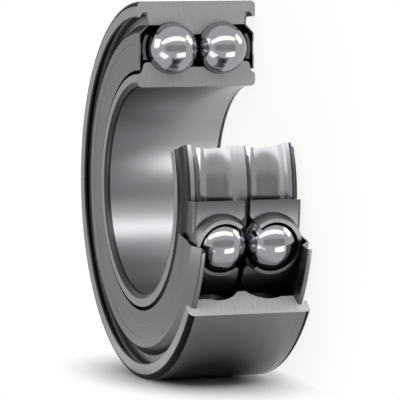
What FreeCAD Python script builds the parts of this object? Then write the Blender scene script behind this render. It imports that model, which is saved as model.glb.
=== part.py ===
import FreeCAD, Part
import math
import os

# Double row angular contact ball bearing, shielded on both sides and cut open in steps.
# Millimetres. The axis is +Z, the middle plane between the two rows is z = 0, and the
# flat section through all the pieces lies on the +X half of the plane y = 0.

# Across the bearing: bore, the ball circle and the outside. These give 60 x 110 mm.
BORE_D = 60.0
BORE_TO_PITCH = 11.25
PITCH_TO_OUTSIDE = 13.75
CORNER_R = 1.5

# Balls and the two rows
BALL_D = 15.081
BALL_COUNT = 10
ROW_GAP = 0.218
CONTACT_ANGLE = 30.0
RACEWAY_RATIO = 0.52
RUNNING_GAP = 0.05
FIRST_BALL_ANGLE = 0.0

# Outer ring: heights of its lands over the raceway, and the seat of the shield
OUTER_MID_LAND_H = 3.525
OUTER_END_LAND_H = 0.775
OUTER_LAND_ROUND_R = 0.5
NOTCH_DEPTH = 3.35
NOTCH_RISE = 3.75
NOTCH_LEAN = 0.35
NOTCH_FLOOR_W = 1.35
LIP_DROP = 1.5
LIP_W = 0.7
LIP_ROUND_R = 0.4

# Inner ring: heights over the raceway, and the flank that runs down to the end face
INNER_MID_LAND_H = 2.125
SHOULDER_H = 3.625
SHOULDER_INSET = 2.0
SHOULDER_ROUND_R = 1.1
FLANK_DROP = 2.9
FLANK_FOOT_INSET = 1.2
FLANK_FOOT_ROUND_R = 0.8
FACE_EDGE_DROP = 0.6
EDGE_ROUND_R = 0.3

# Pressed shields
SHIELD_T = 0.4
SHIELD_INSET = 0.45
SHIELD_BORE_GAP = 0.65
SHIELD_LAND_W = 4.25
SHIELD_BAND_W = 3.8
SHIELD_BAND_DEPTH = 0.15
SHIELD_CONE_GAP = 0.1
SHIELD_SEAT_GAP = 0.04
SHIELD_BEND_R = 0.25

# Pressed cages
CAGE_T = 0.9
POCKET_GAP = 0.65
CAGE_SHIELD_GAP = 0.51
CAGE_BAND_RISE = 0.75
CAGE_BORE_GAP = 0.75
CAGE_LIP_GAP = 0.1
CAGE_WALL_INSET = 0.24
CAGE_BEND_R = 0.6
CAGE_HALF_SPLIT = 0.82
PRONG_TIP_W = 9.35

# Angles taken out of each piece, measured from the flat section
INNER_RING_CUT = 66.1
CAGE_CUT = 90.7
SHIELD_CUT = 106.0
OUTER_RING_CUT = 126.0

# Radii and heights that follow from the sizes above
BALL_R = BALL_D / 2
BALL_STEP = 360.0 / BALL_COUNT
PITCH_R = BORE_D / 2 + BORE_TO_PITCH
OUTER_R = PITCH_R + PITCH_TO_OUTSIDE
ROW_OFFSET = (BALL_D + ROW_GAP) / 2
TILT = math.radians(CONTACT_ANGLE)
RACEWAY_R = RACEWAY_RATIO * BALL_D
RACEWAY_SHIFT = RACEWAY_R - BALL_R - RUNNING_GAP
RACEWAY_REACH = RACEWAY_R - RACEWAY_SHIFT * math.cos(TILT)
OUTER_MID_LAND_R = PITCH_R + RACEWAY_REACH - OUTER_MID_LAND_H
OUTER_END_LAND_R = PITCH_R + RACEWAY_REACH - OUTER_END_LAND_H
NOTCH_R = OUTER_END_LAND_R + NOTCH_RISE
INNER_MID_LAND_R = PITCH_R - RACEWAY_REACH + INNER_MID_LAND_H
SHOULDER_R = PITCH_R - RACEWAY_REACH + SHOULDER_H
FLANK_FOOT_R = SHOULDER_R - FLANK_DROP
CUP_R = BALL_R + POCKET_GAP + CAGE_T
CUP_TOP = ROW_OFFSET + CUP_R
CAGE_BORE_R = SHOULDER_R + CAGE_BORE_GAP
HALF_WIDTH = CUP_TOP + CAGE_SHIELD_GAP + SHIELD_BAND_DEPTH + SHIELD_T + SHIELD_INSET
SEAM_ANGLE = -min(INNER_RING_CUT, CAGE_CUT, SHIELD_CUT, OUTER_RING_CUT) / 2
ORIGIN = FreeCAD.Vector(0, 0, 0)
AXIS = FreeCAD.Vector(0, 0, 1)
ALONG_X = FreeCAD.Vector(1, 0, 0)


def vec(radius, height):
    """A point of the half plane y = 0, x > 0."""
    return FreeCAD.Vector(radius, 0, height)


def corner_arc(before, corner, after, round_r):
    """Start, middle and end of the arc that rounds one corner of an outline."""
    back = (before - corner).normalize()
    ahead = (after - corner).normalize()
    half = back.getAngle(ahead) / 2
    reach = round_r / math.tan(half)
    inward = (back + ahead).normalize()
    centre = corner + inward * (round_r / math.sin(half))
    return corner + back * reach, centre - inward * round_r, corner + ahead * reach


def outline_face(corners):
    """Closed face from corners (radius, height, corner radius) in the plane y = 0."""
    points = [vec(radius, height) for radius, height, _ in corners]
    arcs = []
    for index, (_, _, round_r) in enumerate(corners):
        here = points[index]
        if round_r > 0:
            arcs.append(corner_arc(points[index - 1], here, points[(index + 1) % len(points)], round_r))
        else:
            arcs.append((here, None, here))
    edges = []
    for index, (start, middle, end) in enumerate(arcs):
        if middle is not None:
            edges.append(Part.Arc(start, middle, end).toShape())
        following = arcs[(index + 1) % len(arcs)][0]
        if end.distanceToPoint(following) > 1e-6:
            edges.append(Part.LineSegment(end, following).toShape())
    return Part.Face(Part.Wire(edges))


def sheet_outline(path, thickness):
    """Outline corners of a sheet of even thickness along a path of (radius, height, bend)."""
    points = [vec(radius, height) for radius, height, _ in path]
    left, right = [], []
    for index, here in enumerate(points):
        back = here - points[index - 1] if index else points[1] - here
        ahead = points[index + 1] - here if index < len(points) - 1 else back
        back.normalize()
        ahead.normalize()
        across = FreeCAD.Vector(-back.z - ahead.z, 0, back.x + ahead.x).normalize()
        miter = thickness / 2 / math.cos(back.getAngle(ahead) / 2)
        turn = back.z * ahead.x - back.x * ahead.z
        tight = path[index][2]
        wide = tight + thickness if tight else 0
        left_r, right_r = (wide, tight) if turn > 0 else (tight, wide)
        left.append((here.x + across.x * miter, here.z + across.z * miter, left_r))
        right.append((here.x - across.x * miter, here.z - across.z * miter, right_r))
    return left + right[::-1]


def turned(face):
    """Full solid of revolution, with its seam inside the part that is later cut away."""
    solid = face.revolve(ORIGIN, AXIS, 360)
    solid.rotate(ORIGIN, AXIS, SEAM_ANGLE)
    return solid


def cut_open(solid, angle):
    """Takes the sector from the flat section, clockwise seen from above, out of a piece."""
    low = FreeCAD.Vector(0, 0, -2 * HALF_WIDTH)
    blade = Part.makeCylinder(2 * OUTER_R, 4 * HALF_WIDTH, low, AXIS, angle)
    blade.rotate(ORIGIN, AXIS, -angle)
    return solid.cut(blade).removeSplitter()


def flipped(solid):
    """The mirror image of a piece on the other side of the bearing's middle plane."""
    return solid.mirror(ORIGIN, AXIS)


def ball_angles():
    """Angles of the balls that the cut leaves in each row."""
    angles = [FIRST_BALL_ANGLE + BALL_STEP * index for index in range(BALL_COUNT)]
    return [angle for angle in angles if angle < 360 - CAGE_CUT]


def raceway(side, ring_sign):
    """Torus that grinds one raceway: ring_sign is +1 for the outer ring, -1 for the inner."""
    centre_r = PITCH_R - ring_sign * RACEWAY_SHIFT * math.cos(TILT)
    from_middle = ROW_OFFSET + ring_sign * RACEWAY_SHIFT * math.sin(TILT)
    centre = FreeCAD.Vector(0, 0, side * from_middle)
    torus = Part.makeTorus(centre_r, RACEWAY_R, centre, AXIS)
    torus.rotate(ORIGIN, AXIS, SEAM_ANGLE)
    return torus


def both_sides(half_corners):
    """Outline corners of a symmetric ring from those of its upper half."""
    lower = [(radius, -height, round_r) for radius, height, round_r in half_corners]
    return half_corners + lower[::-1]


def land_edges(solid, radii):
    """Round edges where a raceway meets a land of one of the given radii."""
    found = []
    for edge in solid.Edges:
        curve = edge.Curve
        if not isinstance(curve, Part.Circle):
            continue
        on_axis = math.hypot(curve.Center.x, curve.Center.y) < 1e-6
        in_groove = abs(curve.Center.z) < HALF_WIDTH - NOTCH_DEPTH - EDGE_ROUND_R
        if on_axis and in_groove and any(abs(curve.Radius - radius) < 1e-4 for radius in radii):
            found.append(edge)
    return found


def seat_height(radius):
    """Height of the leaning side of the notch, where the shield sits, at a radius."""
    return HALF_WIDTH - NOTCH_DEPTH + NOTCH_LEAN * (radius - OUTER_END_LAND_R) / NOTCH_RISE


def outer_ring():
    """Outer ring with two raceways, two end lands and the notches that hold the shields."""
    lip_r = NOTCH_R - LIP_DROP
    half = [
        (OUTER_MID_LAND_R, ROW_OFFSET, 0),
        (OUTER_END_LAND_R, ROW_OFFSET, 0),
        (OUTER_END_LAND_R, seat_height(OUTER_END_LAND_R), EDGE_ROUND_R),
        (NOTCH_R, seat_height(NOTCH_R), LIP_ROUND_R),
        (NOTCH_R, seat_height(NOTCH_R) + NOTCH_FLOOR_W, LIP_ROUND_R),
        (lip_r, HALF_WIDTH - LIP_W, EDGE_ROUND_R),
        (lip_r, HALF_WIDTH, LIP_ROUND_R),
        (OUTER_R, HALF_WIDTH, CORNER_R),
    ]
    ring = turned(outline_face(both_sides(half)))
    for side in (1, -1):
        ring = ring.cut(raceway(side, 1))
    edges = land_edges(ring, (OUTER_MID_LAND_R, OUTER_END_LAND_R))
    return cut_open(ring.makeFillet(OUTER_LAND_ROUND_R, edges), OUTER_RING_CUT)


def inner_ring():
    """Inner ring with two raceways and a rounded shoulder that slopes down to each face."""
    half = [
        (INNER_MID_LAND_R, ROW_OFFSET, 0),
        (SHOULDER_R, ROW_OFFSET, 0),
        (SHOULDER_R, HALF_WIDTH - SHOULDER_INSET, SHOULDER_ROUND_R),
        (FLANK_FOOT_R, HALF_WIDTH - FLANK_FOOT_INSET, FLANK_FOOT_ROUND_R),
        (FLANK_FOOT_R - FACE_EDGE_DROP, HALF_WIDTH, EDGE_ROUND_R),
        (BORE_D / 2, HALF_WIDTH, CORNER_R),
    ]
    ring = turned(outline_face(both_sides(half)))
    for side in (1, -1):
        ring = ring.cut(raceway(side, -1))
    edges = land_edges(ring, (INNER_MID_LAND_R, SHOULDER_R))
    return cut_open(ring.makeFillet(EDGE_ROUND_R, edges), INNER_RING_CUT)


def shield():
    """Upper shield: a flat disc with a pressed band, a cone, and a rim bent into the notch."""
    disc = HALF_WIDTH - SHIELD_INSET - SHIELD_T / 2
    band = disc - SHIELD_BAND_DEPTH
    over_seat = SHIELD_SEAT_GAP + SHIELD_T / 2
    bore_r = FLANK_FOOT_R + SHIELD_BORE_GAP
    band_in_r = bore_r + SHIELD_LAND_W
    band_out_r = band_in_r + SHIELD_BAND_W
    cone_out_r = OUTER_END_LAND_R - SHIELD_CONE_GAP
    cone_foot = seat_height(cone_out_r) + over_seat
    rim_r = NOTCH_R - over_seat
    rim_end = seat_height(NOTCH_R) + NOTCH_FLOOR_W - LIP_ROUND_R / 2
    path = [
        (bore_r, disc, 0),
        (band_in_r - SHIELD_BAND_DEPTH, disc, 0),
        (band_in_r + SHIELD_BAND_DEPTH, band, 0),
        (band_out_r - SHIELD_BAND_DEPTH, band, 0),
        (band_out_r + SHIELD_BAND_DEPTH, disc, 0),
        (cone_out_r - (disc - cone_foot), disc, SHIELD_BEND_R),
        (cone_out_r, cone_foot, SHIELD_BEND_R),
        (rim_r, seat_height(rim_r) + over_seat, SHIELD_BEND_R),
        (rim_r, rim_end, 0),
    ]
    return cut_open(turned(outline_face(sheet_outline(path, SHIELD_T))), SHIELD_CUT)


def cage_ring():
    """The pressed band of the upper cage with its turned-in side wall."""
    wall = CUP_TOP - CAGE_WALL_INSET - CAGE_T / 2
    band = PITCH_R + CAGE_BAND_RISE - CAGE_T / 2
    path = [(band, CAGE_HALF_SPLIT, 0), (band, wall, CAGE_BEND_R), (CAGE_BORE_R, wall, 0)]
    return turned(outline_face(sheet_outline(path, CAGE_T)))


def pocket_cup(centre):
    """Outside of one ball pocket: a sphere trimmed by the cage's bore and lip radius."""
    lip_r = OUTER_MID_LAND_R - CAGE_LIP_GAP
    tube = Part.makeCylinder(lip_r, CUP_TOP).cut(Part.makeCylinder(CAGE_BORE_R, CUP_TOP))
    tube.rotate(ORIGIN, AXIS, 180)
    return Part.makeSphere(CUP_R, centre).common(tube)


def pocket_mouth():
    """Opening of one pocket towards the bearing's middle, with its sides at 45 degrees."""
    half_step = PITCH_R * math.sin(math.radians(BALL_STEP / 2))
    half_mouth = half_step - PRONG_TIP_W / 2
    depth = BALL_R / 2
    corners = [
        (half_mouth, -CUP_R),
        (half_mouth, CAGE_HALF_SPLIT),
        (half_mouth - depth, CAGE_HALF_SPLIT + depth),
        (depth - half_mouth, CAGE_HALF_SPLIT + depth),
        (-half_mouth, CAGE_HALF_SPLIT),
        (-half_mouth, -CUP_R),
    ]
    points = [FreeCAD.Vector(0, across, height) for across, height in corners]
    mouth = Part.Face(Part.makePolygon(points + points[:1]))
    return mouth.extrude(ALONG_X * OUTER_R)


def around(shape):
    """Copies of a shape at the place of every ball of a full row."""
    angles = [FIRST_BALL_ANGLE + BALL_STEP * index for index in range(BALL_COUNT)]
    return [shape.rotated(ORIGIN, AXIS, angle) for angle in angles]


def cage():
    """Upper cage: band, side wall and a cup round each ball, open towards the middle."""
    centre = vec(PITCH_R, ROW_OFFSET)
    hollow = Part.makeSphere(BALL_R + POCKET_GAP, centre)
    body = cage_ring().multiFuse(around(pocket_cup(centre)))
    body = body.cut(around(hollow) + around(pocket_mouth()))
    return cut_open(body, CAGE_CUT)


def ball(angle, side):
    """One ball at its angle in the upper (side = 1) or lower (side = -1) row."""
    solid = Part.makeSphere(BALL_R)
    solid.rotate(ORIGIN, AXIS, angle)
    turn = math.radians(angle)
    height = side * ROW_OFFSET
    solid.translate(FreeCAD.Vector(PITCH_R * math.cos(turn), PITCH_R * math.sin(turn), height))
    return solid


def build():
    """Every piece of the bearing by its node name."""
    upper_shield = shield()
    upper_cage = cage()
    pieces = {
        "outer_ring": outer_ring(),
        "inner_ring": inner_ring(),
        "shield_upper": upper_shield,
        "shield_lower": flipped(upper_shield),
        "cage_upper": upper_cage,
        "cage_lower": flipped(upper_cage),
    }
    for row, side in (("upper", 1), ("lower", -1)):
        for number, angle in enumerate(ball_angles(), start=1):
            pieces[f"ball_{row}_{number:02d}"] = ball(angle, side)
    return pieces


def main():
    """Writes one STEP file for each piece."""
    os.makedirs("parts", exist_ok=True)
    for name, shape in build().items():
        shape.exportStep(f"parts/{name}.step")
        print(name, len(shape.Solids), "solid", round(shape.Volume, 2), "mm3", shape.isValid())


main()
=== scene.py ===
import math

import bmesh
import bpy
from mathutils import Matrix, Vector


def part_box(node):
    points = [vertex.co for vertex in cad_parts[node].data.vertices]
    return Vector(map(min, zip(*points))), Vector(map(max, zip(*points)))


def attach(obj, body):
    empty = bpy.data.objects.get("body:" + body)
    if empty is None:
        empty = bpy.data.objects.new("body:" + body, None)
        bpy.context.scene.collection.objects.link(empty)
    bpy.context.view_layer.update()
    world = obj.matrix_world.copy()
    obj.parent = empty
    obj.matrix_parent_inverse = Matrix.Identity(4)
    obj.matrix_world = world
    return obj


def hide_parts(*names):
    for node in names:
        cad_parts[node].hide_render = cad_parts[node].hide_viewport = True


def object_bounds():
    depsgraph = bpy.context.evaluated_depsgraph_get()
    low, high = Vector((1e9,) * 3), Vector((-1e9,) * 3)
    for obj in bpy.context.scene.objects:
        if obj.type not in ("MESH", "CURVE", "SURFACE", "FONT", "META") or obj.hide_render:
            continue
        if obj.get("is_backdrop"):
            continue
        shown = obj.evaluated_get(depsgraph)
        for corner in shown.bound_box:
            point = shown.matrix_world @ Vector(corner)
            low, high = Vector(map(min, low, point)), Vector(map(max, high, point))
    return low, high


bl_info = {
    "name": "Cutaway double row ball bearing",
    "version": (1, 0, 0),
    "blender": (4, 5, 0),
    "location": "View3D > Sidebar > Bearing",
    "description": "Smooth rings, shields, cages and balls on the packed frame, with a studio",
    "category": "Object",
}

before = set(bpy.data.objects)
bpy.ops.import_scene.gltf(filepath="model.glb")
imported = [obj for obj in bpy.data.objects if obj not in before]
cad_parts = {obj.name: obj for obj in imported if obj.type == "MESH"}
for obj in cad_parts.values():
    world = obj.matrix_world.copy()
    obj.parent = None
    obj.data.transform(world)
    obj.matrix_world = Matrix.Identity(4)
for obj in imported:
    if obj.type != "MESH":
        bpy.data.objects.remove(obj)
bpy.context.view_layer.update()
MM = 0.001


def node_box(node):
    """Lowest and highest corner of a CAD node, in millimetres."""
    low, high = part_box(node)
    return low / MM, high / MM


# Sizes in millimetres. Those of whole pieces are read from the frame.
HALF_WIDTH = node_box("inner_ring")[1].z
BALL_R = (node_box("ball_upper_01")[1].z - node_box("ball_upper_01")[0].z) / 2
ROW_OFFSET = node_box("ball_upper_01")[1].z - BALL_R
SHIELD_TOP = node_box("shield_upper")[1].z
BORE_R = 30.0
OUTER_R = 55.0
PITCH_R = 41.25
CORNER_R = 1.5
EDGE_ROUND_R = 0.3

# Raceways: arcs a little wider than the ball, their centres moved along the contact angle
RACEWAY_RATIO = 0.52
RACEWAY_R = RACEWAY_RATIO * 2 * BALL_R
CONTACT = math.radians(30)
RUNNING_GAP = 0.05
RACEWAY_SHIFT = RACEWAY_R - BALL_R - RUNNING_GAP
RACEWAY_REACH = RACEWAY_R - RACEWAY_SHIFT * math.cos(CONTACT)
OUTER_GROOVE_R = PITCH_R + RACEWAY_REACH
INNER_GROOVE_R = PITCH_R - RACEWAY_REACH

# Outer ring: its lands, and the leaning notch for the shield with its lip
OUTER_MID_LAND_R = OUTER_GROOVE_R - 3.525
OUTER_END_LAND_R = OUTER_GROOVE_R - 0.775
OUTER_LAND_ROUND_R = 0.5
NOTCH = HALF_WIDTH - 3.35
NOTCH_LEAN = 0.35
NOTCH_R = OUTER_END_LAND_R + 3.75
NOTCH_FLOOR_W = 1.35
LIP_R = NOTCH_R - 1.5
LIP_W = 0.7
LIP_ROUND_R = 0.4

# Inner ring: its middle land, and the shoulders with the flanks that slope to the faces
INNER_MID_LAND_R = INNER_GROOVE_R + 2.125
SHOULDER_R = INNER_GROOVE_R + 3.625
SHOULDER_INSET = 2.0
SHOULDER_ROUND_R = 1.1
FLANK_START = HALF_WIDTH - SHOULDER_INSET - 1  # where the round of the shoulder begins
FLANK_FOOT_R = SHOULDER_R - 2.9
FLANK_FOOT_INSET = 1.2
FLANK_FOOT_ROUND_R = 0.8
FACE_EDGE_R = FLANK_FOOT_R - 0.6

# Shields: sheet with a flat land, a shallow pressed band, a cone and a rim in the notch
SHIELD_T = 0.4
SHIELD_BORE_R = FLANK_FOOT_R + 0.65
SHIELD_INNER_LAND_W = 4.25
SHIELD_BAND_W = 3.8
SHIELD_BAND_DEPTH = 0.15
SHIELD_BEND_R = 0.25
SHIELD_CONE_R = OUTER_END_LAND_R - 0.1
SEAT_GAP = 0.04

# Cages: sheet with a spherical cup around each ball
BALL_COUNT = 10
CAGE_T = 0.9
CUP_GAP = 0.65
CUP_RADII = (BALL_R + CUP_GAP, BALL_R + CUP_GAP + CAGE_T)

# Angle that is left of each turned piece, counter-clockwise from the flat section
OUTER_RING_SPAN = 360 - 126.0
INNER_RING_SPAN = 360 - 66.1
SHIELD_SPAN = 360 - 106.0

# The photograph's view: angles in degrees, lengths in millimetres
VIEW_YAW = 19.89
VIEW_PITCH = 1.0
VIEW_ROLL = -1.3
VIEW_DISTANCE = 1020.3
VIEW_SHIFT = (-0.878, -3.222)
VIEW_LENS = 313.6
SECTION_LEAN = 3.4


def colour(value):
    """Linear colour from an sRGB hex string such as #8A8C90."""
    parts = [int(value[index:index + 2], 16) / 255 for index in (1, 3, 5)]
    linear = [part / 12.92 if part <= 0.04045 else ((part + 0.055) / 1.055) ** 2.4
              for part in parts]
    return (*linear, 1.0)


def seen(right, away, up):
    """Frame direction of a direction given as the photograph shows it."""
    lean = math.radians(SECTION_LEAN)
    along_x = up * math.cos(lean) - away * math.sin(lean)
    along_y = away * math.cos(lean) + up * math.sin(lean)
    return Vector((along_x, along_y, -right))


def add_node(tree, kind, inputs=None, **settings):
    """Adds a node with its settings, and gives each input a value or a link from a socket."""
    made = tree.nodes.new(kind)
    for name, value in settings.items():
        setattr(made, name, value)
    for key, value in (inputs or {}).items():
        if isinstance(value, bpy.types.NodeSocket):
            tree.links.new(value, made.inputs[key])
        else:
            made.inputs[key].default_value = value
    return made


# Outlines of the turned and pressed pieces: closed loops of (radius, height) in millimetres

ARC_STEP = math.radians(9)
GUARD = 0.08  # distance of the guard points that keep a flat flat beside a rounded corner


def arc_points(centre, start, end):
    """Points of the short arc about a centre from start to end, both included."""
    radius = (start - centre).length
    first = math.atan2(start.y - centre.y, start.x - centre.x)
    turn = (math.atan2(end.y - centre.y, end.x - centre.x) - first + math.pi) % math.tau - math.pi
    count = max(2, math.ceil(abs(turn) / ARC_STEP))
    angles = [first + turn * index / count for index in range(count + 1)]
    return [centre + radius * Vector((math.cos(angle), math.sin(angle))) for angle in angles]


def rounded_corner(before, corner, after, round_r):
    """Points that round one corner, with a guard point on each side where there is room."""
    back = (before - corner).normalized()
    ahead = (after - corner).normalized()
    half = back.angle(ahead) / 2
    reach = round_r / math.tan(half)
    centre = corner + (back + ahead).normalized() * (round_r / math.sin(half))
    points = arc_points(centre, corner + back * reach, corner + ahead * reach)
    if (before - corner).length > reach + 3 * GUARD:
        points.insert(0, corner + back * (reach + GUARD))
    if (after - corner).length > reach + 3 * GUARD:
        points.append(corner + ahead * (reach + GUARD))
    return points


def outline(corners):
    """Closed outline from corners (radius, height, corner radius)."""
    places = [Vector(corner[:2]) for corner in corners]
    points = []
    for index, (_, _, round_r) in enumerate(corners):
        here = places[index]
        if round_r:
            after = places[(index + 1) % len(places)]
            points += rounded_corner(places[index - 1], here, after, round_r)
        else:
            points.append(here)
    return points


def raceway(ring_sign, mid_land_r, end_land_r, round_r):
    """Corners of one raceway with rounded edges: ring_sign is +1 for the outer ring, -1 inside."""
    centre = Vector((PITCH_R - ring_sign * RACEWAY_SHIFT * math.cos(CONTACT),
                     ROW_OFFSET + ring_sign * RACEWAY_SHIFT * math.sin(CONTACT)))
    edges = []
    for land_r, side in ((mid_land_r, -1), (end_land_r, 1)):
        across = land_r + ring_sign * round_r - centre.x
        along = math.sqrt((RACEWAY_R + round_r) ** 2 - across ** 2)
        middle = centre + Vector((across, side * along))
        on_land = Vector((land_r, middle.y))
        on_groove = centre + (middle - centre) * (RACEWAY_R / (RACEWAY_R + round_r))
        edges.append(arc_points(middle, on_land, on_groove))
    first, last = edges[0], edges[1][::-1]
    groove = arc_points(centre, first[-1], last[0])
    return [(point.x, point.y, 0) for point in first + groove[1:-1] + last]


def both_sides(half):
    """Corners of a symmetric ring from those of its upper half."""
    return half + [(radius, -height, round_r) for radius, height, round_r in reversed(half)]


def seat_height(radius):
    """Height of the leaning side of the notch at a radius."""
    return NOTCH + NOTCH_LEAN * (radius - OUTER_END_LAND_R) / (NOTCH_R - OUTER_END_LAND_R)


def outer_ring_outline():
    half = raceway(1, OUTER_MID_LAND_R, OUTER_END_LAND_R, OUTER_LAND_ROUND_R) + [
        (OUTER_END_LAND_R, NOTCH, EDGE_ROUND_R),
        (NOTCH_R, NOTCH + NOTCH_LEAN, LIP_ROUND_R),
        (NOTCH_R, NOTCH + NOTCH_LEAN + NOTCH_FLOOR_W, LIP_ROUND_R),
        (LIP_R, HALF_WIDTH - LIP_W, EDGE_ROUND_R),
        (LIP_R, HALF_WIDTH, LIP_ROUND_R),
        (OUTER_R, HALF_WIDTH, CORNER_R),
    ]
    return outline(both_sides(half))


def inner_ring_outline():
    half = raceway(-1, INNER_MID_LAND_R, SHOULDER_R, EDGE_ROUND_R) + [
        (SHOULDER_R, HALF_WIDTH - SHOULDER_INSET, SHOULDER_ROUND_R),
        (FLANK_FOOT_R, HALF_WIDTH - FLANK_FOOT_INSET, FLANK_FOOT_ROUND_R),
        (FACE_EDGE_R, HALF_WIDTH, EDGE_ROUND_R),
        (BORE_R, HALF_WIDTH, CORNER_R),
    ]
    return outline(both_sides(half))


def sheet_outline(path, thickness):
    """Outline of a sheet of even thickness along a path of (radius, height, bend)."""
    places = [Vector(point[:2]) for point in path]
    left, right = [], []
    for index, here in enumerate(places):
        back = here - places[index - 1] if index else places[1] - here
        ahead = places[index + 1] - here if index < len(places) - 1 else back
        back, ahead = back.normalized(), ahead.normalized()
        across = Vector((-back.y - ahead.y, back.x + ahead.x)).normalized()
        miter = thickness / 2 / math.cos(back.angle(ahead) / 2)
        turn = back.x * ahead.y - back.y * ahead.x
        tight = path[index][2]
        wide = tight + thickness if tight else 0
        left_r, right_r = (tight, wide) if turn > 0 else (wide, tight)
        left.append((*(here + across * miter), left_r))
        right.append((*(here - across * miter), right_r))
    return outline(left + right[::-1])


def shield_outline():
    disc = SHIELD_TOP - SHIELD_T / 2
    band = disc - SHIELD_BAND_DEPTH
    over_seat = SEAT_GAP + SHIELD_T / 2
    band_in_r = SHIELD_BORE_R + SHIELD_INNER_LAND_W
    band_out_r = band_in_r + SHIELD_BAND_W
    cone_foot = seat_height(SHIELD_CONE_R) + over_seat
    rim_r = NOTCH_R - over_seat
    rim_end = NOTCH + NOTCH_LEAN + NOTCH_FLOOR_W - LIP_ROUND_R / 2
    path = [
        (SHIELD_BORE_R, disc, 0),
        (band_in_r - SHIELD_BAND_DEPTH, disc, 0),
        (band_in_r + SHIELD_BAND_DEPTH, band, 0),
        (band_out_r - SHIELD_BAND_DEPTH, band, 0),
        (band_out_r + SHIELD_BAND_DEPTH, disc, 0),
        (SHIELD_CONE_R - (disc - cone_foot), disc, SHIELD_BEND_R),
        (SHIELD_CONE_R, cone_foot, SHIELD_BEND_R),
        (rim_r, seat_height(rim_r) + over_seat, SHIELD_BEND_R),
        (rim_r, rim_end, 0),
    ]
    return sheet_outline(path, SHIELD_T)


# Geometry Nodes trees

def new_tree(name, inputs):
    """A tree with the given inputs and one geometry output, and its input sockets."""
    tree = bpy.data.node_groups.new(name, "GeometryNodeTree")
    for label, kind in inputs:
        tree.interface.new_socket(label, in_out="INPUT", socket_type=f"NodeSocket{kind}")
    tree.interface.new_socket("Piece", in_out="OUTPUT", socket_type="NodeSocketGeometry")
    return tree, add_node(tree, "NodeGroupInput").outputs


def turning_tree():
    """Sweeps a profile (x = radius, y = height) through an angle round the bearing's axis."""
    tree, given = new_tree("Turned profile", (
        ("Profile", "Geometry"), ("Start", "Float"), ("Span", "Float"), ("Steps", "Int"),
        ("Material", "Material")))
    count = add_node(tree, "ShaderNodeMath", {0: given["Steps"], 1: 1.0}, operation="ADD")
    line = add_node(tree, "GeometryNodeCurvePrimitiveLine", {"Start": (0, 0, 0), "End": (0, 0, 1)})
    path = add_node(tree, "GeometryNodeResampleCurve",
                    {"Curve": line.outputs[0], "Count": count.outputs[0]})
    profile = add_node(tree, "GeometryNodeMeshToCurve", {"Mesh": given["Profile"]})
    swept = add_node(tree, "GeometryNodeCurveToMesh",
                     {"Curve": path.outputs[0], "Profile Curve": profile.outputs[0],
                      "Fill Caps": True})
    place = add_node(tree, "GeometryNodeInputPosition")
    parts = add_node(tree, "ShaderNodeSeparateXYZ", {0: place.outputs[0]})
    turned = add_node(tree, "ShaderNodeMath",
                      {0: parts.outputs[2], 1: given["Span"], 2: given["Start"]},
                      operation="MULTIPLY_ADD")
    along = []
    for share in ("COSINE", "SINE"):
        turn = add_node(tree, "ShaderNodeMath", {0: turned.outputs[0]}, operation=share)
        along.append(add_node(tree, "ShaderNodeMath", {0: parts.outputs[0], 1: turn.outputs[0]},
                              operation="MULTIPLY"))
    bent = add_node(tree, "ShaderNodeCombineXYZ",
                    {0: along[0].outputs[0], 1: along[1].outputs[0], 2: parts.outputs[1]})
    moved = add_node(tree, "GeometryNodeSetPosition",
                     {"Geometry": swept.outputs[0], "Position": bent.outputs[0]})
    finish_tree(tree, moved.outputs[0], given["Material"])
    return tree


def ball_tree():
    """One ball at its place in its row."""
    tree, given = new_tree("Ball", (
        ("Place", "Vector"), ("Radius", "Float"), ("Segments", "Int"), ("Material", "Material")))
    rings = add_node(tree, "ShaderNodeMath", {0: given["Segments"], 1: 0.5}, operation="MULTIPLY")
    sphere = add_node(tree, "GeometryNodeMeshUVSphere",
                      {"Segments": given["Segments"], "Rings": rings.outputs[0],
                       "Radius": given["Radius"]})
    placed = add_node(tree, "GeometryNodeTransform",
                      {"Geometry": sphere.outputs["Mesh"], "Translation": given["Place"]})
    finish_tree(tree, placed.outputs[0], given["Material"])
    return tree


def finish_tree(tree, geometry, material):
    """Ends a tree: smooth faces, real geometry and the piece's material."""
    smooth = add_node(tree, "GeometryNodeSetShadeSmooth", {"Geometry": geometry})
    real = add_node(tree, "GeometryNodeRealizeInstances", {"Geometry": smooth.outputs[0]})
    dressed = add_node(tree, "GeometryNodeSetMaterial",
                       {"Geometry": real.outputs[0], "Material": material})
    out = add_node(tree, "NodeGroupOutput")
    tree.links.new(dressed.outputs[0], out.inputs[0])


def grow(name, base, tree, values):
    """A plain mesh object from a tree run on a base mesh with the given named inputs."""
    holder = bpy.data.objects.new(name + "_base", base)
    bpy.context.scene.collection.objects.link(holder)
    modifier = holder.modifiers.new("Grow", "NODES")
    modifier.node_group = tree
    for item in tree.interface.items_tree:
        if item.in_out == "INPUT" and item.name in values:
            modifier[item.identifier] = values[item.name]
    evaluated = holder.evaluated_get(bpy.context.evaluated_depsgraph_get())
    mesh = bpy.data.meshes.new_from_object(evaluated)
    bpy.data.objects.remove(holder)
    mesh.name = name
    piece = bpy.data.objects.new(name, mesh)
    bpy.context.scene.collection.objects.link(piece)
    return piece


SHARP_ANGLE = math.radians(20)


def face_outwards(mesh):
    """Turns the faces of a closed mesh outwards where its volume comes out negative."""
    mesh.calc_loop_triangles()
    corners = [[mesh.vertices[index].co for index in triangle.vertices]
               for triangle in mesh.loop_triangles]
    volume = sum(a.dot(b.cross(c)) for a, b, c in corners)
    if volume < 0:
        mesh.flip_normals()


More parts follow.
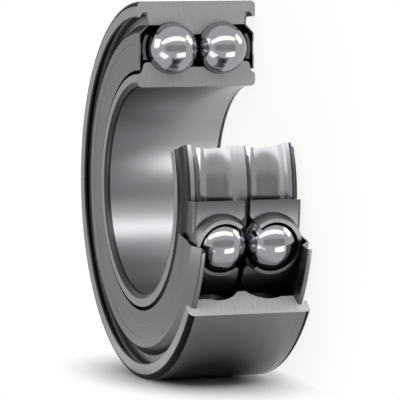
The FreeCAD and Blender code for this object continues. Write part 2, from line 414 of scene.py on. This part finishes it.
def turned_piece(name, points, span, steps, material):
    """A closed outline swept counter-clockwise from the flat section."""
    base = bpy.data.meshes.new(name + "_outline")
    loop = [(index, (index + 1) % len(points)) for index in range(len(points))]
    base.from_pydata([(point.x * MM, point.y * MM, 0) for point in points], loop, [])
    values = {"Start": 0.0, "Span": math.radians(span), "Steps": steps, "Material": material}
    piece = grow(name, base, turning_tree(), values)
    face_outwards(piece.data)
    piece.data.set_sharp_from_angle(angle=SHARP_ANGLE)
    return piece


# Choice of faces for the further finishes of a piece, by place in millimetres. The margins
# keep the choice off the edge between two surfaces.

HAIR = 0.02
MARGIN = 0.05
CUT_TILT = 0.999


def face_tilt(face):
    """How squarely a face looks round the axis: 0 on turned surfaces and 1 on cut faces."""
    around = Vector((-face.center.y, face.center.x, 0)).normalized()
    return abs(face.normal.dot(around))


def finish_faces(piece, material, chosen):
    """Puts a material on the faces for which chosen(radius, height, tilt, depth) is true."""
    piece.data.materials.append(material)
    slot = len(piece.data.materials) - 1
    for face in piece.data.polygons:
        radius = math.hypot(face.center.x, face.center.y) / MM
        height, depth = abs(face.center.z) / MM, face.center.y / MM
        if chosen(radius, height, face_tilt(face), depth):
            face.material_index = slot


def cut_face(radius, height, tilt, depth):
    """The flat faces that lie in a plane through the axis."""
    return tilt > CUT_TILT


def low_cut_face(radius, height, tilt, depth):
    """The cut face at the low end of the outer ring."""
    return tilt > CUT_TILT and depth < -MARGIN


def outer_unground_painted_shade(radius, height, tilt, depth):
    """Outer ring: the notches with their lips, dark turned steel with painted shade."""
    in_reach = OUTER_END_LAND_R + HAIR < radius < NOTCH_R + HAIR
    return in_reach and NOTCH + HAIR < height < HALF_WIDTH - HAIR


def outer_corner(radius, height, tilt, depth):
    """Outer ring: the rounded corners of the outside."""
    return height > HALF_WIDTH - CORNER_R + MARGIN and radius > OUTER_R - CORNER_R + MARGIN


def outside_face(radius, height, tilt, depth):
    """Outer ring: the ground outside, without its corners."""
    return radius > OUTER_R - 2 * MARGIN and height < HALF_WIDTH - CORNER_R + 2 * MARGIN


def inner_raceway(radius, height, tilt, depth):
    """Inner ring: the two grooves, from the middle land out to the shoulders."""
    in_reach = INNER_GROOVE_R - 2 * MARGIN < radius < SHOULDER_R - 4 * MARGIN
    return in_reach and abs(radius - INNER_MID_LAND_R) > MARGIN and height < FLANK_START


def inner_unground_painted_shade(radius, height, tilt, depth):
    """Inner ring: the flank beside each shoulder and the corners of the bore, dark turned steel
    with painted shade.
    """
    on_flank = FLANK_START + MARGIN < height < HALF_WIDTH - HAIR and radius > FACE_EDGE_R
    on_corner = height > HALF_WIDTH - CORNER_R + MARGIN and radius < BORE_R + CORNER_R - MARGIN
    return on_flank or on_corner


# Materials

COLOUR_A, COLOUR_B, COLOUR_OUT = 6, 7, 2  # sockets of the Mix node that hold colours
MARK_DEPTH = 0.00002  # depth of the fine marks, in metres
WHITE = (1, 1, 1, 1)


def new_material(name):
    material = bpy.data.materials.new(name)
    material.use_nodes = True
    tree = material.node_tree
    tree.nodes.clear()
    shader = add_node(tree, "ShaderNodeBsdfPrincipled")
    add_node(tree, "ShaderNodeOutputMaterial", {"Surface": shader.outputs[0]})
    return material, tree, shader


def radius_and_height(tree):
    """Distance from the bearing's axis and height, from the piece's own coordinates."""
    place = add_node(tree, "ShaderNodeTexCoord")
    parts = add_node(tree, "ShaderNodeSeparateXYZ", {0: place.outputs["Object"]})
    flat = add_node(tree, "ShaderNodeCombineXYZ", {0: parts.outputs[0], 1: parts.outputs[1]})
    radius = add_node(tree, "ShaderNodeVectorMath", {0: flat.outputs[0]}, operation="LENGTH")
    return radius.outputs["Value"], parts.outputs[2]


def lined_metal(name, dark, light, roughness, across, along, relief, metallic=1.0):
    """Metal with fine marks: their spacing in metres across the radius and along the axis."""
    material, tree, shader = new_material(name)
    radius, height = radius_and_height(tree)
    scaled_r = add_node(tree, "ShaderNodeMath", {0: radius, 1: 1 / across}, operation="MULTIPLY")
    scaled_h = add_node(tree, "ShaderNodeMath", {0: height, 1: 1 / along}, operation="MULTIPLY")
    place = add_node(tree, "ShaderNodeCombineXYZ", {0: scaled_r.outputs[0], 1: scaled_h.outputs[0]})
    marks = add_node(tree, "ShaderNodeTexNoise",
                     {"Vector": place.outputs[0], "Scale": 1.0, "Detail": 3.0})
    tone = add_node(tree, "ShaderNodeMix",
                    {"Factor": marks.outputs["Fac"], COLOUR_A: colour(dark),
                     COLOUR_B: colour(light)}, data_type="RGBA")
    bump = add_node(tree, "ShaderNodeBump",
                    {"Height": marks.outputs["Fac"], "Strength": relief, "Distance": MARK_DEPTH})
    tree.links.new(tone.outputs[COLOUR_OUT], shader.inputs["Base Color"])
    tree.links.new(bump.outputs[0], shader.inputs["Normal"])
    shader.inputs["Metallic"].default_value = metallic
    shader.inputs["Roughness"].default_value = roughness
    return material


def ground_bearing_steel():
    # Hardened bearing steel, ground all over: a satin grey with hair lines that run round
    # the axis. Real grinding lines are about 0.02 mm apart and are drawn at 0.25 mm.
    return lined_metal("Ground bearing steel", "#8C8D8F", "#A3A4A6", roughness=0.31,
                       across=0.00025, along=0.00025, relief=0.25)


def brushed_section_steel():
    # The same steel where the demonstration cut was milled and brushed along the radius:
    # matt, with short streaks. They are drawn 0.3 mm apart, about three times their size.
    return lined_metal("Brushed section face", "#7C7D7F", "#9C9D9F", roughness=0.5,
                       across=0.004, along=0.0003, relief=0.25, metallic=0.6)


def outside_steel_painted_shade():
    # The outside, ground between centreless wheels: more even than the faces, and painted darker
    # than them as painted shade.
    # Its lines are too fine to tell apart, and only faint bands 4 mm wide show.
    return lined_metal("Ground outside with painted shade", "#6C6D6F", "#7E7F81", roughness=0.27,
                       across=0.0003, along=0.004, relief=0.12)


def corner_steel_painted_shade():
    # The rounded corners of the outside keep some black scale of the furnace and are painted darker
    # still, near black, as painted shade: nearly matt, and darker than the notches, which were
    # turned once more.
    return lined_metal("Corner steel with painted shade", "#151617", "#1D1E1F", roughness=0.6,
                       across=0.0004, along=0.0004, relief=0.1)


def honed_raceway_steel():
    # The grooves are honed after grinding: smoother than the rest, so that the lamps beside
    # the bearing draw narrow bright lines along them.
    return lined_metal("Honed raceway steel", "#808183", "#8E8F91", roughness=0.18,
                       across=0.0003, along=0.0003, relief=0.1)


def low_cut_painted_light():
    # The low cut face, painted paler than the other cut face as painted light, with clear radial
    # streaks.
    return lined_metal("Brushed cut face with painted light", "#A4A5A7", "#DCDDDF", roughness=0.55,
                       across=0.005, along=0.0003, relief=0.35, metallic=0.35)


def turned_steel_painted_shade():
    # Notches, flanks and the corners of the bore are turned and hardened but never ground: a thin
    # film of scale darkens them, with a dull shine, and their dark grey is partly painted shade for
    # these recesses and corners.
    return lined_metal("Turned steel with painted shade", "#333436", "#3E3F41", roughness=0.3,
                       across=0.0003, along=0.0003, relief=0.1)


def pressed_shield_steel():
    # Cold rolled sheet, pressed: a darker, softer grey than the ground rings with faint
    # drawing lines round the axis, drawn at 0.6 mm.
    return lined_metal("Pressed shield steel", "#6D6E70", "#7B7C7E", roughness=0.3,
                       across=0.0006, along=0.0006, relief=0.1)


def tumbled_cage_steel():
    # Sheet steel, deep drawn and tumbled to take off the burrs: an even satin grey with a
    # faint mottle of about 0.5 mm and no direction.
    mottle_size = 0.0005
    material, tree, shader = new_material("Tumbled cage steel")
    place = add_node(tree, "ShaderNodeTexCoord")
    mottle = add_node(tree, "ShaderNodeTexNoise",
                      {"Vector": place.outputs["Object"], "Scale": 1 / mottle_size, "Detail": 2.0})
    tone = add_node(tree, "ShaderNodeMix",
                    {"Factor": mottle.outputs["Fac"], COLOUR_A: colour("#5E5F61"),
                     COLOUR_B: colour("#67686A")}, data_type="RGBA")
    tree.links.new(tone.outputs[COLOUR_OUT], shader.inputs["Base Color"])
    shader.inputs["Metallic"].default_value = 1.0
    shader.inputs["Roughness"].default_value = 0.3
    return material


def lapped_ball_steel():
    # Through-hardened chrome steel, lapped to a near mirror: it shows the room with soft
    # edges, dark where it faces the raceways and white where it faces the lamps.
    material, tree, shader = new_material("Lapped ball steel")
    shader.inputs["Base Color"].default_value = colour("#98999C")
    shader.inputs["Metallic"].default_value = 1.0
    shader.inputs["Roughness"].default_value = 0.14
    return material


def floor_finish():
    # Matt white studio board. It takes the soft shadow under the bearing; along the line where the
    # side board stands more of its paint shows, partly real shadow and partly painted shadow, and
    # otherwise it shows as the white background.
    material, tree, out = stage_material("Matt white studio board")
    squeeze = 14  # how much narrower the dark line is than it is long
    around = painted_shadow_fade(tree, start=0.057, end=0.095, low=0.88)
    # painted shadow along the line where the side board stands
    painted_line_shadow = painted_shadow_fade(tree, start=0.0, end=0.07, low=0.4,
                        location=(squeeze * OUTER_R * MM, 0, 0), scale=(squeeze, 1, 1))
    least = add_node(tree, "ShaderNodeMath", {0: around, 1: painted_line_shadow}, operation="MINIMUM")
    tree.links.new(board_paint(tree, "#F2F2F2", least.outputs[0]), out.inputs["Surface"])
    return material


def side_board_finish():
    # The same board beside the bearing's outside. Near the bearing it is grey matt paint, a painted
    # shadow that also takes the real contact shadow, and further out it fades into the white
    # background.
    # Its back lets the light through.
    material, tree, out = stage_material("Side board with painted shadow")
    painted_shadow_to_white = painted_shadow_fade(tree, start=0.017, end=0.06, location=(0, 0, -0.034), scale=(0, 0.85, 1.65))
    front = board_paint(tree, "#A8A8A8", painted_shadow_to_white)
    clear = add_node(tree, "ShaderNodeBsdfTransparent")
    side = add_node(tree, "ShaderNodeNewGeometry")
    one_sided = add_node(tree, "ShaderNodeMixShader",
                         {0: side.outputs["Backfacing"], 1: front, 2: clear.outputs[0]})
    tree.links.new(one_sided.outputs[0], out.inputs["Surface"])
    return material


def painted_shadow_fade(tree, start, end, low=0.0, location=(0, 0, 0), scale=(1, 1, 1)):
    """Grows from low to 1 between two distances, in metres, from a board's moved origin: where a
    board's painted shadow fades into white.
    """
    place = add_node(tree, "ShaderNodeTexCoord")
    moved = add_node(tree, "ShaderNodeMapping",
                     {"Vector": place.outputs["Object"], "Location": location, "Scale": scale})
    reach = add_node(tree, "ShaderNodeVectorMath", {0: moved.outputs[0]}, operation="LENGTH")
    painted_shadow_to_white = add_node(tree, "ShaderNodeMapRange",
                    {"Value": reach.outputs["Value"], "From Min": start, "From Max": end,
                     "To Min": low}, interpolation_type="SMOOTHSTEP")
    return painted_shadow_to_white.outputs[0]


def board_paint(tree, shade, whiteness):
    """Matt paint that turns into the white background, for the rays that look at it."""
    paint = add_node(tree, "ShaderNodeBsdfDiffuse", {"Color": colour(shade)})
    white = add_node(tree, "ShaderNodeEmission", {"Color": WHITE, "Strength": 1.0})
    share = add_node(tree, "ShaderNodeMath", {0: whiteness, 1: background_rays(tree)},
                     operation="MULTIPLY")
    mixed = add_node(tree, "ShaderNodeMixShader",
                     {0: share.outputs[0], 1: paint.outputs[0], 2: white.outputs[0]})
    return mixed.outputs[0]


def card_finish(name, shade):
    # Felt: it gives the faces that mirror it an even tone without glare.
    material, tree, out = stage_material(name)
    felt = add_node(tree, "ShaderNodeBsdfDiffuse", {"Color": colour(shade)})
    tree.links.new(felt.outputs[0], out.inputs["Surface"])
    return material


def stage_material(name):
    material = bpy.data.materials.new(name)
    material.use_nodes = True
    material.node_tree.nodes.clear()
    return material, material.node_tree, add_node(material.node_tree, "ShaderNodeOutputMaterial")


def background_rays(tree):
    """1 for the rays that look at the background: from the camera, off metal or through glass."""
    path = add_node(tree, "ShaderNodeLightPath")
    both = add_node(tree, "ShaderNodeMath",
                    {0: path.outputs["Is Camera Ray"], 1: path.outputs["Is Glossy Ray"]},
                    operation="MAXIMUM")
    total = add_node(tree, "ShaderNodeMath",
                     {0: both.outputs[0], 1: path.outputs["Is Transmission Ray"]},
                     operation="MAXIMUM")
    return total.outputs[0]


def stand_for(piece, body, node):
    """A finished piece moves with its body and stands for a CAD node, which it hides."""
    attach(piece, body)
    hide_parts(node)


class BearingFinish(bpy.types.PropertyGroup):
    """How fine the smooth pieces are."""

    turn_steps: bpy.props.IntProperty(
        name="Turning steps", description="Steps round a full turn of a ring or shield",
        default=300, min=36, max=720)
    ball_segments: bpy.props.IntProperty(
        name="Ball segments", description="Segments round a ball", default=64, min=16, max=128)


class StudioSettings(bpy.types.PropertyGroup):
    """The studio round the bearing."""

    lens: bpy.props.FloatProperty(
        name="Focal length", description="Focal length of the camera in millimetres",
        default=VIEW_LENS, unit="CAMERA")
    surround: bpy.props.FloatProperty(
        name="Surround light", description="Strength of the light from all round",
        default=0.5, min=0)
    background: bpy.props.FloatVectorProperty(
        name="Background", description="Colour of the background", subtype="COLOR", size=4,
        default=WHITE, min=0, max=1)


class BEARING_OT_rings(bpy.types.Operator):
    """Turns the outer and the inner ring and finishes their faces"""

    bl_idname = "bearing.rings"
    bl_label = "Rings"

    def execute(self, context):
        steps = context.scene.bearing_finish.turn_steps
        ground = ground_bearing_steel()
        turned = turned_steel_painted_shade()
        cut = brushed_section_steel()
        outer_finishes = (
            (turned, outer_unground_painted_shade),
            (outside_steel_painted_shade(), outside_face),
            (corner_steel_painted_shade(), outer_corner),
            (cut, cut_face),
            (low_cut_painted_light(), low_cut_face),
        )
        inner_finishes = (
            (turned, inner_unground_painted_shade),
            (honed_raceway_steel(), inner_raceway),
            (cut, cut_face),
        )
        rings = (("outer_ring", "outer", outer_ring_outline(), OUTER_RING_SPAN, outer_finishes),
                 ("inner_ring", "inner", inner_ring_outline(), INNER_RING_SPAN, inner_finishes))
        for node, body, points, span, finishes in rings:
            piece = turned_piece(node + "_ground", points, span, round(steps * span / 360), ground)
            for material, chosen in finishes:
                finish_faces(piece, material, chosen)
            stand_for(piece, body, node)
        return {"FINISHED"}


class BEARING_OT_shields(bpy.types.Operator):
    """Presses the two shields"""

    bl_idname = "bearing.shields"
    bl_label = "Shields"

    def execute(self, context):
        steps = round(context.scene.bearing_finish.turn_steps * SHIELD_SPAN / 360)
        steel = pressed_shield_steel()
        points = shield_outline()
        for node, side in (("shield_upper", 1), ("shield_lower", -1)):
            placed = [Vector((point.x, side * point.y)) for point in points]
            piece = turned_piece(node + "_pressed", placed, SHIELD_SPAN, steps, steel)
            stand_for(piece, "outer", node)
        return {"FINISHED"}


class BEARING_OT_cages(bpy.types.Operator):
    """Smooths the two pressed cages"""

    bl_idname = "bearing.cages"
    bl_label = "Cages"

    def execute(self, context):
        steel = tumbled_cage_steel()
        for node in ("cage_upper", "cage_lower"):
            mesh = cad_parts[node].data.copy()
            piece = bpy.data.objects.new(node + "_pressed", mesh)
            context.scene.collection.objects.link(piece)
            merge_doubles(mesh)
            mesh.materials.clear()
            mesh.materials.append(steel)
            shade_by_surface(mesh, ROW_OFFSET if node == "cage_upper" else -ROW_OFFSET)
            stand_for(piece, node, node)
        return {"FINISHED"}


TURNED_TILT = 0.12  # most that a face of a turned band looks round the axis
CUP_MATCH = 0.03  # how near the corners of a cup's face lie to its sphere, in millimetres
SAME_SURFACE = 0.85  # least cosine between the normals of neighbours on one surface
MERGE_DISTANCE = 1e-7


def slope_of(face):
    """A face's normal in the plane through the axis, as (outwards, up)."""
    across = Vector((face.center.x, face.center.y, 0)).normalized()
    return Vector((face.normal.dot(across), face.normal.z)).normalized()


def shade_by_surface(mesh, row_height):
    """Takes each corner's normal from the cup or the turned band that its face lies on."""
    angles = [math.tau * index / BALL_COUNT for index in range(BALL_COUNT)]
    cups = [Vector((math.cos(angle), math.sin(angle), 0)) * PITCH_R * MM
            + Vector((0, 0, row_height * MM)) for angle in angles]
    turned = {}
    for face in mesh.polygons:
        if face_tilt(face) < TURNED_TILT:
            for index in face.vertices:
                turned.setdefault(index, []).append((slope_of(face), face.area))
    normals = []
    for face in mesh.polygons:
        cup = min(cups, key=lambda centre: (face.center - centre).length)
        reaches = [(mesh.vertices[index].co - cup).length / MM for index in face.vertices]
        on_cup = any(all(abs(reach - radius) < CUP_MATCH for reach in reaches)
                     for radius in CUP_RADII)
        side = face.normal.dot((face.center - cup).normalized())
        for index in face.vertices:
            place = mesh.vertices[index].co
            if on_cup and abs(side) > SAME_SURFACE:
                normal = (place - cup) * math.copysign(1, side)
            elif face_tilt(face) < TURNED_TILT:
                own = slope_of(face)
                near = [slope * area for slope, area in turned[index]
                        if slope.dot(own) > SAME_SURFACE]
                slope = sum(near, Vector((0, 0))).normalized()
                outwards = Vector((place.x, place.y, 0)).normalized()
                normal = outwards * slope.x + Vector((0, 0, slope.y))
            else:
                normal = face.normal
            normals.append(normal.normalized())
    mesh.shade_smooth()
    mesh.normals_split_custom_set(normals)


def merge_doubles(mesh):
    """Joins the loose triangles of a copied CAD mesh."""
    work = bmesh.new()
    work.from_mesh(mesh)
    bmesh.ops.remove_doubles(work, verts=work.verts, dist=MERGE_DISTANCE)
    work.to_mesh(mesh)
    work.free()


class BEARING_OT_balls(bpy.types.Operator):
    """Makes a smooth ball for every ball of both rows"""

    bl_idname = "bearing.balls"
    bl_label = "Balls"

    def execute(self, context):
        steel = lapped_ball_steel()
        tree = ball_tree()
        segments = context.scene.bearing_finish.ball_segments
        balls = sorted(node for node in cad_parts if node.startswith("ball_"))
        if not balls:
            raise RuntimeError("the frame has no balls")
        for node in balls:
            low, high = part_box(node)
            values = {"Place": (low + high) / 2, "Radius": BALL_R * MM, "Segments": segments,
                      "Material": steel}
            piece = grow(node + "_lapped", bpy.data.meshes.new(node), tree, values)
            stand_for(piece, node, node)
        return {"FINISHED"}


def facing(place):
    """Matrix of a lamp or card at a place, turned towards the bearing, its y to the side."""
    turn = (-place).to_track_quat("-Z", "Y").to_matrix().to_4x4()
    return Matrix.Translation(place) @ turn


def softbox(name, place, tall, wide, radiance):
    """A rectangular lamp that faces the bearing, by its brightness as a reflection shows it."""
    data = bpy.data.lights.new(name, "AREA")
    data.shape = "RECTANGLE"
    data.size, data.size_y = tall, wide
    data.energy = radiance * math.pi * tall * wide
    lamp = bpy.data.objects.new(name, data)
    bpy.context.scene.collection.objects.link(lamp)
    lamp.matrix_world = facing(place)
    lamp.visible_camera = False


def flat_corners(half_x, half_y):
    """Corners of a flat rectangle about the origin."""
    return [(-half_x, -half_y, 0), (half_x, -half_y, 0), (half_x, half_y, 0), (-half_x, half_y, 0)]


def hang_card(name, place, half_up, half_wide, material):
    """A felt card that faces the bearing and that only reflections and light see."""
    card = stage_board(name, flat_corners(half_up, half_wide), material)
    card.matrix_world = facing(place)
    card.visible_camera = False


def stage_board(name, corners, material):
    """A flat piece of the studio."""
    mesh = bpy.data.meshes.new(name)
    mesh.from_pydata(corners, [], [(0, 1, 2, 3)])
    mesh.materials.append(material)
    board = bpy.data.objects.new(name, mesh)
    bpy.context.scene.collection.objects.link(board)
    board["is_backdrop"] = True
    return board


# The studio, in metres. Places are (right, away, up) as the photograph shows them.
FLOOR_REACH = 4.0
SIDE_BOARD_HALF_WIDTH = 0.1
SIDE_BOARD_HEIGHT = 0.11
CAMERA_REACH = 20.0
SENSOR_WIDTH = 36  # in millimetres

# Lamps: name, place, height and width, and brightness as a reflection shows it
LAMPS = (
    ("softbox_front", (-0.1, -0.57, 0.55), 0.26, 2.0, 2.8),
    ("softbox_low", (0.36, -0.68, -0.41), 0.26, 0.6, 3.8),
    ("softbox_right", (0.76, -0.14, 0.4), 0.3, 0.4, 4.5),
    ("softbox_left", (-0.77, 0.03, 0.3), 0.45, 0.45, 2.4),
    ("softbox_low_left", (-0.62, -0.34, -0.4), 0.35, 0.55, 2.0),
    ("softbox_back", (0.3, 0.79, 0.33), 0.35, 0.35, 4.0),
)

# Felt cards: name, place, half their height and width, material and shade
CARDS = (
    ("back_card", (-0.3, 0.82, -0.02), 0.45, 0.45, "Pale grey felt", "#E4E4E4"),
    ("front_card", (0.0, -1.25, 0.0), 0.33, 1.3, "White felt", "#FAFAFA"),
)


class BEARING_OT_stage(bpy.types.Operator):
    """Lays the floor, hangs the lamps and sets up the camera at the photograph's angle"""

    bl_idname = "bearing.stage"
    bl_label = "Stage"

    def execute(self, context):
        scene = context.scene
        studio = scene.bearing_studio
        scene.view_settings.view_transform = "Standard"
        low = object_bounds()[0]
        floor = stage_board("studio_floor", flat_corners(FLOOR_REACH, FLOOR_REACH), floor_finish())
        floor.location.z = low.z
        for ray in ("diffuse", "glossy", "transmission", "shadow"):
            setattr(floor, f"visible_{ray}", False)
        wide, tall = SIDE_BOARD_HALF_WIDTH, SIDE_BOARD_HEIGHT
        corners = [(0, -wide, 0), (0, wide, 0), (0, wide, tall), (0, -wide, tall)]
        board = stage_board("side_board", corners, side_board_finish())
        board.location = (low.x, 0, low.z)
        for name, place, half_up, half_wide, felt, shade in CARDS:
            hang_card(name, seen(*place), half_up, half_wide, card_finish(felt, shade))

        world = bpy.data.worlds.new("Studio surround")
        scene.world = world
        world.use_nodes = True
        tree = world.node_tree
        tree.nodes.clear()
        soft = add_node(tree, "ShaderNodeBackground", {"Color": WHITE, "Strength": studio.surround})
        plain = add_node(tree, "ShaderNodeBackground",
                         {"Color": tuple(studio.background), "Strength": 1.0})
        mixed = add_node(tree, "ShaderNodeMixShader",
                         {0: background_rays(tree), 1: soft.outputs[0], 2: plain.outputs[0]})
        add_node(tree, "ShaderNodeOutputWorld", {"Surface": mixed.outputs[0]})

        for name, place, tall, wide, radiance in LAMPS:
            softbox(name, seen(*place), tall, wide, radiance)

        camera_data = bpy.data.cameras.new("photo_camera")
        camera_data.sensor_width = SENSOR_WIDTH
        camera_data.lens = studio.lens
        camera_data.clip_end = CAMERA_REACH
        camera = bpy.data.objects.new("photo_camera", camera_data)
        scene.collection.objects.link(camera)
        camera.matrix_world = photo_camera_place()
        scene.camera = camera
        return {"FINISHED"}


def photo_camera_place():
    """Camera matrix from the photograph's viewing angles, its distance and its framing."""
    yaw, pitch, roll = (math.radians(angle) for angle in (VIEW_YAW, VIEW_PITCH, VIEW_ROLL))
    forward = Vector((math.sin(yaw) * math.cos(pitch), math.cos(yaw) * math.cos(pitch),
                      -math.sin(pitch)))
    level = Vector((math.cos(yaw), -math.sin(yaw), 0))
    upright = level.cross(forward)
    right = math.cos(roll) * level + math.sin(roll) * upright
    up = math.cos(roll) * upright - math.sin(roll) * level
    place = -(VIEW_SHIFT[0] * right - VIEW_SHIFT[1] * up + VIEW_DISTANCE * forward) * MM
    columns = (seen(*right), seen(*up), seen(*(-forward)))
    matrix = Matrix(columns).transposed().to_4x4()
    matrix.translation = seen(*place)
    return matrix


class BEARING_PT_panel(bpy.types.Panel):
    """Buttons that build the bearing's pieces"""

    bl_idname = "BEARING_PT_panel"
    bl_label = "Bearing"
    bl_space_type = "VIEW_3D"
    bl_region_type = "UI"
    bl_category = "Bearing"

    def draw(self, context):
        for group in (context.scene.bearing_finish, context.scene.bearing_studio):
            for name in group.__annotations__:
                self.layout.prop(group, name)
        for step in STEPS:
            self.layout.operator(step.bl_idname)


STEPS = (BEARING_OT_rings, BEARING_OT_shields, BEARING_OT_cages, BEARING_OT_balls, BEARING_OT_stage)
CLASSES = (BearingFinish, StudioSettings, *STEPS, BEARING_PT_panel)


def register():
    for item in CLASSES:
        bpy.utils.register_class(item)
    bpy.types.Scene.bearing_finish = bpy.props.PointerProperty(type=BearingFinish)
    bpy.types.Scene.bearing_studio = bpy.props.PointerProperty(type=StudioSettings)


def unregister():
    del bpy.types.Scene.bearing_studio
    del bpy.types.Scene.bearing_finish
    for item in reversed(CLASSES):
        bpy.utils.unregister_class(item)


def main():
    register()
    for step in STEPS:
        group, name = step.bl_idname.split(".")
        getattr(getattr(bpy.ops, group), name)()


if __name__ == "__main__":
    main()
